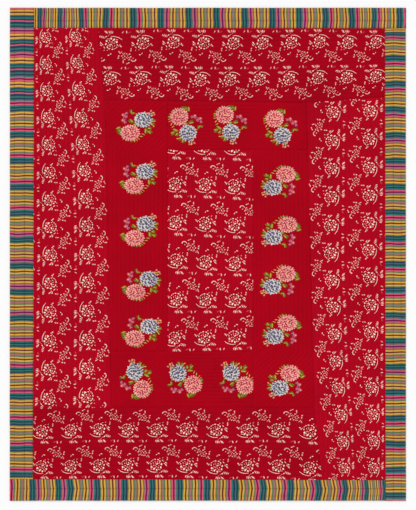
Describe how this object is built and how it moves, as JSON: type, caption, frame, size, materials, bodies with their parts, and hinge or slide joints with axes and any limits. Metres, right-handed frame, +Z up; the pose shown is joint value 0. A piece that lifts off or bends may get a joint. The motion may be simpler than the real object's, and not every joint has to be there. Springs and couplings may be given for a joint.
{
  "type": "reversible quilt",
  "caption": "Flat pieced and quilted bed cover: a centre panel inside a plain frame, wide outer panels and striped binding strips, padded between its stitch lines.",
  "frame": {"origin": "on the surface that the quilt lies on, under the middle of its outline", "axes": "+Y towards the head end, +X to the right seen from above, +Z up out of the printed face"},
  "size_m": [1.8, 2.24, 0.0064],
  "materials": {
    "printed_cotton": "red cotton with a cream flower print, matt",
    "plain_cotton": "dark red cotton with printed bouquets, matt",
    "striped_cotton": "multicoloured striped cotton, matt"
  },
  "bodies": {
    "root": {"centre_panel": "printed_cotton", "frame_strip_left": "plain_cotton", "frame_strip_bottom": "plain_cotton", "frame_strip_right": "plain_cotton", "frame_strip_top": "plain_cotton", "border_panel_left": "printed_cotton", "border_panel_bottom": "printed_cotton", "border_panel_right": "printed_cotton", "border_panel_top": "printed_cotton", "binding_left": "striped_cotton", "binding_bottom": "striped_cotton", "binding_right": "striped_cotton", "binding_top": "striped_cotton"}
  },
  "joints": []
}
